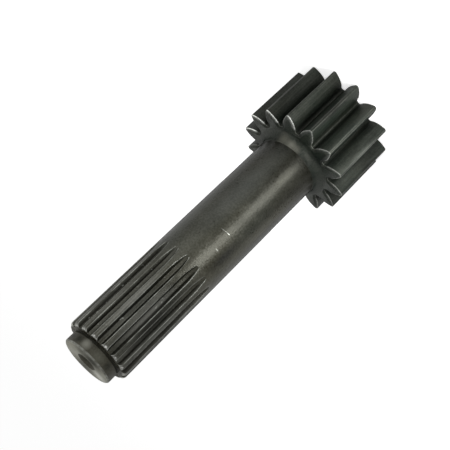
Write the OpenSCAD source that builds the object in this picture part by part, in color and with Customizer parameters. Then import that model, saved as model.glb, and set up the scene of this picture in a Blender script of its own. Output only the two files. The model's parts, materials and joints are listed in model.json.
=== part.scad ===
// Sun gear shaft: a spur pinion, a plain shaft and an involute spline, all turned and cut from one bar.
// It stands on the free end face of the pinion. The axis is +Z and the splined end is up.

/* [Pinion] */
// Number of pinion teeth
gear_teeth = 14; // [13:1:18]
// Pinion module, the pitch diameter over the number of teeth
gear_module = 5; // [4.7:0.05:5.4]
// Pressure angle of the pinion teeth, in degrees
gear_angle = 25; // [22.5:0.5:25]
// Profile shift of the pinion teeth, in modules
gear_shift = 0.25; // [0.2:0.01:0.3]
// Depth of the hob tip below the reference line, in modules
gear_dedendum = 1.45; // [1.35:0.01:1.45]
// Radius of the hob tip, which leaves the root fillet, in modules
gear_root_round = 0.12; // [0.08:0.01:0.13]
// Face width of the pinion
gear_width = 52; // [42:0.5:60]
// Break on the two edges of each tooth tip
tip_break = 0.3; // [0.15:0.05:0.35]
// Turn of the first pinion tooth against the first spline space, in degrees
gear_turn = 9.64; // [0:0.01:25]

/* [Tooth end chamfers] */
// Length of the chamfer along the shaft
end_depth = 1; // [0.6:0.1:1.6]
// Width of the chamfer on the flanks, seen on the end face
end_flank = 2.2; // [1.8:0.1:2.3]
// Width of the chamfer in the roots, seen on the end face
end_root = 0.8; // [0.5:0.1:1]
// Distance from the tooth tip down to the peak of the end face
end_peak = 3.3; // [3.1:0.1:4]

/* [Shaft] */
// Length over everything
total_length = 244; // [220:1:270]
// Diameter of the ground shaft between the pinion and the spline
shaft_d = 45; // [44:0.1:46]
// Flat left on the pinion face between the shaft fillet and the tooth roots
face_flat = 0.35; // [0.2:0.05:1]
// Length of the unground ring ahead of the fillet
ring_length = 1.4; // [0.6:0.1:3]
// Height of the unground ring above the ground shaft
ring_step = 0.35; // [0.2:0.05:0.5]

/* [Spline] */
// Number of spline teeth
spline_teeth = 16; // [15:1:17]
// Module of the spline
spline_module = 2.5; // [2.4:0.05:2.6]
// Pressure angle of the spline, in degrees
spline_angle = 20; // [18:0.5:22]
// Profile shift of the spline teeth, in modules
spline_shift = 0.8; // [0.7:0.05:0.9]
// Height of the spline teeth above their shifted reference line, in modules
spline_addendum = 0.2; // [0.1:0.05:0.3]
// Depth of the spline spaces, in modules
spline_depth = 1; // [0.9:0.02:1.04]
// Length of the spline spaces at full depth
spline_length = 61; // [45:0.5:70]
// Radius of the hob that leaves the run-out of the spaces
hob_r = 35; // [30:0.5:45]
// Rounding of the tooth ends at the entry of the spline
entry_round = 2.2; // [1.5:0.1:2.2]

/* [Pilot] */
// Diameter of the pilot
pilot_d = 35; // [32:0.1:36]
// Length of the pilot beyond the spline
pilot_length = 8.5; // [6:0.1:12]
// Chamfer at the end of the pilot
pilot_chamfer = 0.8; // [0.4:0.1:1.2]
// Width of the undercut at the foot of the pilot
undercut_width = 1.5; // [1:0.1:2]
// Depth of the undercut below the pilot
undercut_depth = 0.5; // [0.3:0.1:0.8]

/* [Centre holes] */
// Diameter of the drilled part of the centre holes
centre_drill_d = 6.3; // [4:0.1:7]
// Diameter of the mouth of the centre holes
centre_mouth_d = 13.2; // [9:0.1:15]
// Depth of the drilled part below the mouth cone
centre_drill_depth = 6; // [4:0.5:10]

/* [Hidden] */

// Facets of a full turn on round surfaces
round_fn = 128;
// Degrees in one radian
rad = 180 / PI;
// Overlap of joined solids and reach of cutters past the surfaces that they cut
lap = 1;

// Pinion: hobbed involute with the trochoid that the rounded hob tip leaves in the root
pitch_r = gear_module * gear_teeth / 2;
base_r = pitch_r * cos(gear_angle);
tip_r = pitch_r + gear_module * (1 + gear_shift);
hob_round = gear_root_round * gear_module;
hob_centre = gear_dedendum * gear_module - hob_round;
hob_sink = hob_centre - gear_shift * gear_module;
hob_side = PI * gear_module / 4 - hob_centre * tan(gear_angle) - hob_round / cos(gear_angle);
root_r = pitch_r - hob_sink - hob_round;
gear_widening = 2 * gear_shift * tan(gear_angle) / gear_teeth * rad;
base_half = 90 / gear_teeth + gear_widening + inv(gear_angle);
tooth_pitch = 360 / gear_teeth;

// Points along one flank: root fillet, involute, tip
fillet_steps = 5;
flank_steps = 7;

// Involute function, in degrees
function inv(a) = tan(a) * rad - a;

// Radius and half tooth angle of the root fillet when the hob has rolled by w from its lowest point
function fillet_point(w) =
    let (
        n = sqrt(w * w + hob_sink * hob_sink),
        x = w + hob_round * w / n,
        y = pitch_r - hob_sink - hob_round * hob_sink / n
    )
    [sqrt(x * x + y * y), tooth_pitch / 2 - atan2(x, y) + (w - hob_side) / pitch_r * rad];

// Half tooth angle of the involute at radius r
function involute_half(r) = base_half - inv(acos(base_r / r));

roll_end = hob_sink / tan(gear_angle);
form_r = fillet_point(roll_end)[0];
break_r = tip_r - tip_break;

// Half tooth as [radius, half angle], from the root up
half_tooth = [
    for (i = [0 : fillet_steps]) fillet_point(roll_end * i / fillet_steps),
    for (i = [1 : flank_steps])
        let (r = form_r + (break_r - form_r) * i / flank_steps) [r, involute_half(r)],
    [tip_r, involute_half(tip_r) - tip_break / tip_r * rad]
];
half_count = len(half_tooth);

// The same half tooth as [along the tooth, across the tooth]
outer = [for (p = half_tooth) [p[0] * cos(p[1]), p[0] * sin(p[1])]];

// Unit normal of the flank at point i, pointing out of the metal
function flank_normal(i) =
    let (
        t = outer[min(i + 1, half_count - 1)] - outer[max(i - 1, 0)],
        n = norm(t)
    )
    i == 0 ? [cos(half_tooth[0][1]), sin(half_tooth[0][1])] : [-t[1] / n, t[0] / n];

// Flank moved into the metal by the width of the end chamfer
inset = [
    for (i = [0 : half_count - 1])
        let (w = end_root + (end_flank - end_root) * min(1, i / fillet_steps))
        outer[i] - w * flank_normal(i)
];

// The end face has a rounded peak below the tooth tip: its place, its rounding and half its flat
peak_x = tip_r - end_peak;
peak_round = 0.6;
peak_half = 0.25;
face_half = [
    for (i = [0 : half_count - 1])
        let (
            v = (i - fillet_steps) / (half_count - 1 - fillet_steps),
            from = inset[fillet_steps][0],
            x = from + (peak_x - from) * (1 - (1 - v) * (1 - v)),
            arch = max(peak_half, sqrt(max(0, 2 * peak_round * (peak_x - x))))
        )
        i < fillet_steps ? inset[i] : [x, min(lookup(x, inset), arch)]
];

// Whole outline of all teeth from one half tooth
function outline(half) = [
    for (k = [0 : gear_teeth - 1], side = [-1, 1], i = [0 : half_count - 1])
        let (
            p = half[side < 0 ? i : half_count - 1 - i],
            a = k * tooth_pitch
        )
        [p[0] * cos(a) - side * p[1] * sin(a), p[0] * sin(a) + side * p[1] * cos(a)]
];

outer_outline = outline(outer);
face_outline = outline(face_half);
outline_count = len(outer_outline);

// Shaft
shaft_r = shaft_d / 2;
ring_r = shaft_r + ring_step;
fillet_r = root_r - end_root - face_flat - ring_r;
ring_top = gear_width + fillet_r + ring_length;

// Spline: shifted involute teeth cut into the shaft
spline_d = spline_module * (spline_teeth + 2 * spline_shift + 2 * spline_addendum);
spline_r = spline_d / 2;
space_depth = spline_depth * spline_module;
spline_root_r = spline_r - space_depth;
spline_pitch_r = spline_module * spline_teeth / 2;
spline_base_r = spline_pitch_r * cos(spline_angle);
spline_pitch = 360 / spline_teeth;
spline_widening = 2 * spline_shift * tan(spline_angle) / spline_teeth * rad;
spline_half = 90 / spline_teeth + spline_widening + inv(spline_angle);
spline_top = total_length - pilot_length;
spline_full = spline_top - spline_length;
run_out = sqrt(hob_r * hob_r - (hob_r - space_depth) * (hob_r - space_depth));
spline_foot = spline_full - run_out - 2 * lap;
// Turn of the hob's arc, enough to leave the metal
run_out_turn = 40;
space_steps = 4;

// Half angle of a spline space at radius r
function space_half(r) = spline_pitch / 2 - spline_half + inv(acos(spline_base_r / r));

// One side of a spline space as [across, outward], from the floor up past the outside diameter
space_side = [
    for (i = [0 : space_steps + 1])
        let (
            r = spline_root_r + (spline_r - spline_root_r) * i / space_steps,
            a = space_half(r)
        )
        [r * sin(a), r * cos(a)]
];

// Whole space, floor first
space_outline = concat(
    space_side,
    [for (i = [len(space_side) - 1 : -1 : 0]) [-space_side[i][0], space_side[i][1]]]
);
space_floor = space_side[0][1];

// Centre holes, with half the angle of the mouth and of the drill point
mouth_half_angle = 30;
point_half_angle = 59;
mouth_depth = (centre_mouth_d - centre_drill_d) / 2 / tan(mouth_half_angle);
drill_tip = centre_drill_d / 2 / tan(point_half_angle);

// Flat cap over the ring of outline points that starts at index o, listed against the clock from above
function cap(o) = concat(
    [[for (k = [0 : gear_teeth - 1], side = [0, 1]) o + 2 * half_count * k + side * (2 * half_count - 1)]],
    [
        for (k = [0 : gear_teeth - 1], i = [0 : half_count - 2])
            let (
                left = o + 2 * half_count * k + i,
                right = o + 2 * half_count * (k + 1) - 1 - i
            )
            [left, left + 1, right - 1, right]
    ]
);

// The same faces seen from the other side
function flipped(faces) = [for (f = faces) [for (i = [len(f) - 1 : -1 : 0]) f[i]]];

// Side faces between the ring that starts at index o and the next ring up
function band(o, n) = [
    for (i = [0 : n - 1], half = [0, 1])
        let (j = (i + 1) % n)
        half == 0 ? [o + i, o + n + i, o + j] : [o + j, o + n + i, o + n + j]
];

// Outline lifted to height z
function ring(points, z) = [for (p = points) [p[0], p[1], z]];

// Toothed body with its chamfered tooth ends
module pinion() {
    n = outline_count;
    polyhedron(
        points = concat(
            ring(face_outline, 0),
            ring(outer_outline, end_depth),
            ring(outer_outline, gear_width - end_depth),
            ring(face_outline, gear_width)
        ),
        faces = concat(cap(0), band(0, n), band(n, n), band(2 * n, n), flipped(cap(3 * n)))
    );
}

// Fillet and unground ring where the shaft meets the pinion
module shaft_root() {
    rotate_extrude($fn = round_fn)
        difference() {
            translate([0, gear_width - lap])
                square([ring_r + fillet_r, fillet_r + lap]);
            translate([ring_r + fillet_r, gear_width + fillet_r])
                circle(r = fillet_r, $fn = round_fn);
        }
    translate([0, 0, gear_width])
        cylinder(r = ring_r, h = ring_top - gear_width - ring_step, $fn = round_fn);
    translate([0, 0, ring_top - ring_step])
        cylinder(r1 = ring_r, r2 = shaft_r, h = ring_step, $fn = round_fn);
}

module plain_shaft() {
    translate([0, 0, gear_width - lap])
        cylinder(r = shaft_r, h = spline_foot + 2 * lap - gear_width, $fn = round_fn);
}

// Spline blank with its rounded entry
module spline_blank() {
    translate([0, 0, spline_foot])
        cylinder(r = spline_r, h = spline_top - entry_round - spline_foot, $fn = round_fn);
    translate([0, 0, spline_top - entry_round - lap])
        cylinder(r = spline_r - entry_round, h = entry_round + lap, $fn = round_fn);
    rotate_extrude($fn = round_fn)
        translate([spline_r - entry_round, spline_top - entry_round])
            intersection() {
                circle(r = entry_round, $fn = round_fn);
                square(entry_round);
            }
}

// Cutter of one spline space: a straight part and the arc of the hob where it leaves the metal
module space_cutter() {
    translate([0, 0, spline_full])
        linear_extrude(height = spline_length + lap)
            polygon([for (p = space_outline) [p[1], p[0]]]);
    translate([space_floor + hob_r, 0, spline_full])
        rotate([90, 0, 0])
            rotate([0, 0, 180])
                rotate_extrude(angle = run_out_turn, $fn = round_fn)
                    polygon([for (p = space_outline) [space_floor + hob_r - p[1], p[0]]]);
}

module pilot() {
    pilot_r = pilot_d / 2;
    translate([0, 0, spline_top - lap])
        cylinder(r = pilot_r - undercut_depth, h = undercut_width + 2 * lap, $fn = round_fn);
    translate([0, 0, spline_top + undercut_width])
        cylinder(r = pilot_r, h = pilot_length - undercut_width - pilot_chamfer, $fn = round_fn);
    translate([0, 0, total_length - pilot_chamfer])
        cylinder(r1 = pilot_r, r2 = pilot_r - pilot_chamfer, h = pilot_chamfer, $fn = round_fn);
}

// Centre hole that opens upwards at z = 0
module centre_hole() {
    bottom = -mouth_depth - centre_drill_depth;
    translate([0, 0, -mouth_depth])
        cylinder(d1 = centre_drill_d, d2 = centre_mouth_d, h = mouth_depth, $fn = round_fn);
    translate([0, 0, bottom])
        cylinder(d = centre_drill_d, h = centre_drill_depth, $fn = round_fn);
    translate([0, 0, bottom - drill_tip])
        cylinder(d1 = 0, d2 = centre_drill_d, h = drill_tip, $fn = round_fn);
    cylinder(d = centre_mouth_d, h = lap, $fn = round_fn);
}

module sun_gear_shaft() {
    color([0.42, 0.43, 0.4])
        difference() {
            union() {
                rotate([0, 0, gear_turn])
                    pinion();
                shaft_root();
                plain_shaft();
                spline_blank();
                pilot();
            }
            for (k = [0 : spline_teeth - 1])
                rotate([0, 0, k * spline_pitch])
                    space_cutter();
            translate([0, 0, total_length])
                centre_hole();
            mirror([0, 0, 1])
                centre_hole();
        }
}

sun_gear_shaft();
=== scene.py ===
"""Dresses the sun gear shaft: its skin of oiled steel, with the floor, the light and the camera around it.

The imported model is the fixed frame. The shaft's skin is modelled over it with rounded edges, tooth ends and
spline run-outs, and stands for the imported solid. Sizes are in millimetres and angles in degrees, unless a
name says otherwise.
"""

import json
import logging
import math
from collections.abc import Callable, Iterator, Sequence
from contextlib import contextmanager
from dataclasses import dataclass, field
from enum import Enum

import bmesh
import bpy
from mathutils import Euler, Matrix, Vector

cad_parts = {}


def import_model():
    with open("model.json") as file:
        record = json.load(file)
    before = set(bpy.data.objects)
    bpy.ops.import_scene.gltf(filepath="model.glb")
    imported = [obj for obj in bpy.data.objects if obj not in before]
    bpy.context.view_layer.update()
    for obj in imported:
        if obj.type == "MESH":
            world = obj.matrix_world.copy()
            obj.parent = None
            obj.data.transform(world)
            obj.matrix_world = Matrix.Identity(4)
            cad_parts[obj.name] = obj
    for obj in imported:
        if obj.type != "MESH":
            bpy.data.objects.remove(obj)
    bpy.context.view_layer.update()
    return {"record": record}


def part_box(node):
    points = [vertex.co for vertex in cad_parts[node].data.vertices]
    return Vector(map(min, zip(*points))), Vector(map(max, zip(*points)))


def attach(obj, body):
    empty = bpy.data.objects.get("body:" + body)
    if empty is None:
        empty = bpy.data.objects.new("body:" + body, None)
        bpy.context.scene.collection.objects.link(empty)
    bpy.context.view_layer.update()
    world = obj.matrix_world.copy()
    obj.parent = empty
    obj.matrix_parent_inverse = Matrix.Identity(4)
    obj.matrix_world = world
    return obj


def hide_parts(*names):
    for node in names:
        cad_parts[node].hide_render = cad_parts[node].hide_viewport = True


LOG = logging.getLogger("sun_gear_shaft")
MM = 0.001
NODE = "sun_gear_shaft"
BODY = "root"
WHITE = (1, 1, 1, 1)
# Faces around a turned shell, and steps in the rounding of its corners.
AROUND = 480
ROUND_STEPS = 4
# Vertices merge within these distances in metres: inside one stretch, and where two stretches meet.
MERGE = 1e-6
SEAM_MERGE = 20 * MERGE
# How far a vertex may lie off the plane of its seam.
SEAM_SLACK = 0.001
# Steps of the search for the mouth of a spline space.
HALVINGS = 40

Colour = tuple[float, float, float]
Line = Sequence[tuple[float, float]]
Socket = bpy.types.NodeSocket


class Mask(Enum):
    """The attributes that carry rubbed edges with painted highlight lines, exposed metal with painted glints,
    and painted shade in hollows, from the shapes to the finishes.
    """

    # Rubbed edges, with painted highlight lines on the pinion's tooth crests and roots.
    EDGE = "edge_wear"
    # Exposed metal on the pinion's end chamfers, with painted glints on the chamfers that face the light and
    # on the spline's rounded tooth ends.
    BARE_AND_GLINT = "bare_metal"
    # Painted shade in hollows, corners and steps: a darker colour and less reflection.
    DEPTH = "space_depth"


class Zone(Enum):
    """The stretches of the skin that differ in finish, in the order of the material slots."""

    SHAFT = 0
    PINION = 1
    PILOT = 2
    END_FACE = 3


@dataclass(frozen=True)
class SkinPoint:
    """A point of the skin, with its masks from 0 to 1. Turned shells take the masks only."""

    place: Vector = field(default_factory=Vector)
    edge: float = 0.0
    bare_and_glint: float = 0.0
    depth: float = 0.0


@dataclass(frozen=True)
class Corner:
    """A corner of a turned profile: its radius, its height and the rounding that breaks it."""

    radius: float
    height: float
    rounding: float = 0.0


def involute(angle: float) -> float:
    """Involute function of an angle in radians."""
    return math.tan(angle) - angle


def mix(low: float, high: float, share: float) -> float:
    """Value a share of the way from low to high."""
    return low + (high - low) * share


def polar(radius: float, angle: float, height: float = 0.0) -> Vector:
    """Point at a radius, an angle in radians and a height."""
    return Vector((radius * math.cos(angle), radius * math.sin(angle), height))


def lookup(x: float, line: Line) -> float:
    """Height of a line of points over x, held at both ends.

    Args:
        x: Place along the line.
        line: Points as (x, y), in rising order of x.

    Returns:
        The interpolated y.
    """
    if x <= line[0][0]:
        return line[0][1]
    for (x0, y0), (x1, y1) in zip(line, line[1:]):
        if x <= x1:
            return mix(y0, y1, (x - x0) / (x1 - x0))
    return line[-1][1]


def activate(obj: bpy.types.Object) -> None:
    """Selects one object alone and makes it active.

    Args:
        obj: The object.
    """
    bpy.ops.object.select_all(action="DESELECT")
    obj.select_set(True)
    bpy.context.view_layer.objects.active = obj


@contextmanager
def editing(obj: bpy.types.Object, domain: str = "VERT") -> Iterator[bmesh.types.BMesh]:
    """Edit mode on one object with everything selected.

    Args:
        obj: The object to edit.
        domain: What is picked in edit mode: VERT, EDGE or FACE.

    Yields:
        The edit mesh, for picking by place. It is stale after an operator that adds or removes parts.
    """
    activate(obj)
    bpy.ops.object.mode_set(mode="EDIT")
    bpy.ops.mesh.select_mode(type=domain)
    bpy.ops.mesh.select_all(action="SELECT")
    try:
        yield bmesh.from_edit_mesh(obj.data)
    finally:
        bpy.ops.object.mode_set(mode="OBJECT")


def write_masks(obj: bpy.types.Object, points: Sequence[SkinPoint]) -> None:
    """Writes the masks of the skin's points, in the order of the vertices.

    Args:
        obj: The object that carries the masks.
        points: One skin point for each vertex.
    """
    for mask in Mask:
        layer = obj.data.attributes.new(mask.value, "FLOAT", "POINT")
        layer.data.foreach_set("value", [getattr(point, mask.name.lower()) for point in points])


def lay_sheet(name: str, columns: int, rows: int, at: Callable[[int, int], SkinPoint]) -> bpy.types.Object:
    """Adds a grid and lays it over a surface.

    Args:
        name: Name of the new object.
        columns: Vertices across.
        rows: Vertices along.
        at: Gives the skin point of a column and a row.

    Returns:
        The sheet.
    """
    bpy.ops.mesh.primitive_grid_add(x_subdivisions=columns - 1, y_subdivisions=rows - 1, size=1)
    sheet = bpy.context.object
    sheet.name = name
    points = [at(vertex.index % columns, vertex.index // columns) for vertex in sheet.data.vertices]
    for vertex, point in zip(sheet.data.vertices, points):
        vertex.co = point.place * MM
    write_masks(sheet, points)
    return sheet


def spin_copies(sheet: bpy.types.Object, count: int) -> None:
    """Repeats a sheet of one pitch around the axis and closes it to a ring.

    Args:
        sheet: The sheet of one pitch.
        count: How many pitches there are.
    """
    with editing(sheet):
        bpy.ops.mesh.spin(
            steps=count - 1,
            dupli=True,
            angle=math.tau * (count - 1) / count,
            center=(0, 0, 0),
            axis=(0, 0, 1),
        )
        bpy.ops.mesh.select_all(action="SELECT")
        bpy.ops.mesh.remove_doubles(threshold=MERGE)


def turn_profile(
    name: str, corners: Sequence[Corner], mask: Callable[[float, float], SkinPoint]
) -> bpy.types.Object:
    """Turns a profile around the axis, as on a lathe.

    Args:
        name: Name of the new object.
        corners: The profile from one end to the other.
        mask: Gives the masks at a radius and a height.

    Returns:
        The turned shell.
    """
    points = [Vector((c.radius, 0, c.height)) * MM for c in corners]
    bpy.ops.mesh.primitive_plane_add(size=MM)
    shell = bpy.context.object
    shell.name = name
    with editing(shell):
        bpy.ops.mesh.merge(type="CENTER")
        bpy.ops.transform.translate(value=points[0])
        for start, end in zip(points, points[1:]):
            bpy.ops.mesh.extrude_vertices_move(TRANSFORM_OT_translate={"value": end - start})
        for corner, point in zip(corners, points):
            if not corner.rounding:
                continue
            picked = bmesh.from_edit_mesh(shell.data)
            for vertex in picked.verts:
                vertex.select_set((vertex.co - point).length < MERGE)
            picked.select_flush_mode()
            bpy.ops.mesh.bevel(affect="VERTICES", offset=corner.rounding * MM, segments=ROUND_STEPS)
        bpy.ops.mesh.select_all(action="SELECT")
        bpy.ops.mesh.spin(steps=AROUND, angle=math.tau, center=(0, 0, 0), axis=(0, 0, 1))
        bpy.ops.mesh.select_all(action="SELECT")
        bpy.ops.mesh.remove_doubles(threshold=MERGE)
    write_masks(shell, [mask(v.co.xy.length / MM, v.co.z / MM) for v in shell.data.vertices])
    return shell


@dataclass(frozen=True)
class Stations:
    """Heights and radii that the sub-assemblies share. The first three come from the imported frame."""

    length: float
    shaft_r: float
    pilot_r: float
    gear_top: float = 52.0
    shoulder: float = 235.5
    spline_from: float = 159.6
    pilot_seam: float = 17.6

    @classmethod
    def from_frame(cls, record: dict) -> "Stations":
        """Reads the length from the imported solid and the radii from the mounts.

        Args:
            record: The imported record.

        Returns:
            The stations.
        """
        mounts = {mount["name"]: mount["dims"] for mount in record["mounts"]}
        return cls(
            length=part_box(NODE)[1].z / MM,
            shaft_r=mounts["ground_shaft"]["r_mm"],
            pilot_r=mounts["pilot"]["r_mm"],
        )


@dataclass(frozen=True)
class Toothing:
    """Involute teeth around the axis."""

    teeth: int
    module: float
    pressure: float
    shift: float

    @property
    def pitch_r(self) -> float:
        """Radius of the pitch circle."""
        return self.module * self.teeth / 2

    @property
    def half_pitch(self) -> float:
        """Half the angle from tooth to tooth, in radians."""
        return math.pi / self.teeth

    def flank_angle(self, radius: float) -> float:
        """Half tooth angle of the involute at a radius.

        Args:
            radius: Radius on the flank.

        Returns:
            The angle in radians.
        """
        tilt = math.radians(self.pressure)
        base_r = self.pitch_r * math.cos(tilt)
        widening = 2 * self.shift * math.tan(tilt) / self.teeth
        return self.half_pitch / 2 + widening + involute(tilt) - involute(math.acos(base_r / radius))


@dataclass(frozen=True)
class Pinion(Toothing):
    """The hobbed pinion: one pitch is laid as a sheet and spun around the axis."""

    teeth: int = 14
    module: float = 5.0
    pressure: float = 25.0
    shift: float = 0.25
    dedendum: float = 1.45
    hob_rounding: float = 0.12
    tip_break: float = 0.3
    turn: float = 9.64
    end_depth: float = 1.0
    end_flank: float = 2.2
    end_root: float = 0.8
    end_peak: float = 3.3
    end_soft: float = 0.07
    peak_round: float = 0.6
    peak_half: float = 0.25
    fillet_steps: int = 6
    flank_steps: int = 12
    break_steps: int = 3
    face_steps: int = 6
    line_width: float = 0.2
    # Painted highlight lines on the tooth crests and along the middle of the roots, carried in the edge mask.
    tip_highlight: float = 0.16
    root_line: float = 0.3
    # Columns above the root's fillet over which the exposed metal and painted glint of the end chamfer come
    # in.
    bare_and_glint_fade: int = 3
    # Painted glint: the end chamfers on one flank of the teeth between these angles, which face the light,
    # keep it in full; the others keep this share.
    glint_from: float = -66.0
    glint_to: float = 48.0
    unlit_chamfer_share: float = 0.18
    inner_r: float = 28.0

    @property
    def tip_r(self) -> float:
        """Radius over the tips."""
        return self.pitch_r + self.module * (1 + self.shift)

    def root_point(self, roll: float) -> tuple[float, float]:
        """Point of the root that the rounded hob tip leaves.

        Args:
            roll: How far the hob has rolled from its lowest point.

        Returns:
            Radius and half tooth angle in radians.
        """
        tilt = math.radians(self.pressure)
        rounding = self.hob_rounding * self.module
        centre = self.dedendum * self.module - rounding
        sink = centre - self.shift * self.module
        side = math.pi * self.module / 4 - centre * math.tan(tilt) - rounding / math.cos(tilt)
        reach = math.hypot(roll, sink)
        x = roll + rounding * roll / reach
        y = self.pitch_r - sink - rounding * sink / reach
        return math.hypot(x, y), self.half_pitch - math.atan2(x, y) + (roll - side) / self.pitch_r

    def half_tooth(self) -> list[tuple[float, float]]:
        """Outline of half a tooth.

        Returns:
            Radius and half angle of each point, from the middle of the root to the middle of the tip.
        """
        sink = (self.dedendum - self.hob_rounding - self.shift) * self.module
        roll_end = sink / math.tan(math.radians(self.pressure))
        roots = [self.root_point(roll_end * i / self.fillet_steps) for i in range(self.fillet_steps + 1)]
        form_r = roots[-1][0]
        break_r = self.tip_r - self.tip_break
        radii = [mix(form_r, break_r, i / self.flank_steps) for i in range(1, self.flank_steps + 1)]
        flank = [(r, self.flank_angle(r)) for r in radii]
        corner = self.flank_angle(self.tip_r)
        end = corner - self.tip_break / self.tip_r
        rounding = []
        for i in range(1, self.break_steps + 1):
            t = i / self.break_steps
            radius = mix(mix(break_r, self.tip_r, t), self.tip_r, t)
            angle = mix(mix(flank[-1][1], corner, t), mix(corner, end, t), t)
            rounding.append((radius, angle))
        land = (self.tip_r, max(0.0, rounding[-1][1] - self.line_width / self.tip_r))
        return [(roots[0][0], self.half_pitch), *roots, *flank, *rounding, land, (self.tip_r, 0.0)]

    def face_half(self, outer: Line) -> list[tuple[float, float]]:
        """Half tooth of the end face, inside the end chamfer.

        Args:
            outer: The full half tooth as (along, across).

        Returns:
            The chamfered half tooth as (along, across), point for point.
        """
        last = len(outer) - 1
        foot = self.fillet_steps + 1
        inset = []
        for i, (along, across) in enumerate(outer):
            before, after = outer[max(i - 1, 0)], outer[min(i + 1, last)]
            run = Vector((after[0] - before[0], after[1] - before[1])).normalized()
            normal = Vector((-run.y, run.x))
            # Both ends of the root's arc move straight towards the axis.
            if i < 2:
                normal = Vector((along, across)).normalized()
            width = mix(self.end_root, self.end_flank, min(1.0, max(0, i - 1) / self.fillet_steps))
            inset.append((along - width * normal.x, across - width * normal.y))
        peak = self.tip_r - self.end_peak
        line = inset[foot:-2]
        face = inset[:foot]
        for i in range(foot, last):
            share = (i - foot) / (last - foot)
            x = mix(inset[foot][0], peak, 1 - (1 - share) ** 2)
            arch = max(self.peak_half, math.sqrt(max(0.0, 2 * self.peak_round * (peak - x))))
            face.append((x, min(lookup(x, line), arch)))
        return [*face, (peak, 0.0)]

    def rows(self, height: float) -> list[tuple[float, float, float, float]]:
        """Rows of the sheet from the lower to the upper face.

        Args:
            height: Face width of the pinion.

        Returns:
            Share of the full outline, height, edge mask and mask of exposed metal with painted glint of each
            row.
        """
        soft, depth = self.end_soft, self.end_depth
        lift = soft * depth
        # The chamfer rows carry rubbed borders in the edge mask, and exposed metal with painted glint.
        low = [
            (-soft, 0.0, 0.0, 0.0),
            (0.03, 0.01, 0.15, 0.0),
            (soft, lift, 0.0, 0.0),
            (0.6, 0.6 * depth, 0.0, 0.12),
            (0.78, 0.78 * depth, 0.0, 0.5),
            (1 - soft, depth - lift, 0.3, 1.0),
            (0.98, depth, 0.65, 0.8),
            (1.0, depth + 0.12, 0.3, 0.0),
            (1.0, depth + 0.4, 0.0, 0.0),
            (1.0, 2 * depth, 0.0, 0.0),
        ]
        middle = [(1.0, height * i / self.face_steps, 0.0, 0.0) for i in range(1, self.face_steps)]
        return low + middle + [(share, height - z, edge, bare_and_glint) for share, z, edge, bare_and_glint in reversed(low)]

    def build(self, stations: Stations) -> bpy.types.Object:
        """Models the toothed ring, open at both faces.

        Args:
            stations: The shared heights and radii.

        Returns:
            The pinion's skin.
        """
        half = self.half_tooth()
        outer = [(r * math.cos(a), r * math.sin(a)) for r, a in half]
        face = self.face_half(outer)
        root_r = half[0][0]
        land = len(half) - 2
        break_from = land - 1 - self.break_steps
        columns = 2 * len(half) - 1
        rows = self.rows(stations.gear_top)
        turn = math.radians(self.turn)

        def at(column: int, row: int) -> SkinPoint:
            """Skin point of the pinion. The first and the last row are the open inner rings.

            Args:
                column: Column of the sheet, across the tooth.
                row: Row of the sheet, from the free face up.

            Returns:
                The skin point.
            """
            i = min(column, columns - 1 - column)
            side = -1 if column < len(half) - 1 else 1
            share, height, edge, bare_and_glint = rows[min(max(row - 1, 0), len(rows) - 1)]
            along = mix(face[i][0], outer[i][0], share)
            across = side * mix(face[i][1], outer[i][1], share)
            angle = math.atan2(across, along) + turn
            if row in (0, len(rows) + 1):
                return SkinPoint(polar(self.inner_r, angle, height))
            # Painted highlight lines on the crest's rounding and along the root's middle.
            if share == 1.0 and break_from < i < land:
                edge = max(edge, self.tip_highlight)
            if share == 1.0 and i == 0:
                edge = max(edge, self.root_line)
            # The chamfer's exposed metal and painted glint fade in above the root's fillet.
            bare_and_glint *= min(1.0, max(0.0, i - self.fillet_steps) / self.bare_and_glint_fade)
            # Painted shade, deepening from the tips towards the roots.
            depth = (self.tip_r - half[i][0]) / (self.tip_r - root_r) if share >= 0 else 0.0
            return SkinPoint(polar(math.hypot(along, across), angle, height), edge, bare_and_glint, depth)

        sheet = lay_sheet("pinion", columns, len(rows) + 2, at)
        spin_copies(sheet, self.teeth)
        self.paint_chamfer_glints(sheet)
        return sheet

    def paint_chamfer_glints(self, sheet: bpy.types.Object) -> None:
        """Keeps the painted glint on the end chamfers of the flanks that face the light, and leaves a share
        of it on the others.

        Args:
            sheet: The pinion's skin, all the way around.
        """
        pitch = 360 / self.teeth
        layer = sheet.data.attributes[Mask.BARE_AND_GLINT.value].data
        for vertex, value in zip(sheet.data.vertices, layer):
            angle = math.degrees(math.atan2(vertex.co.y, vertex.co.x))
            tooth = round((angle - self.turn) / pitch) * pitch + self.turn
            bright = angle < tooth and self.glint_from < tooth < self.glint_to
            value.value *= 1.0 if bright else self.unlit_chamfer_share


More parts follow.
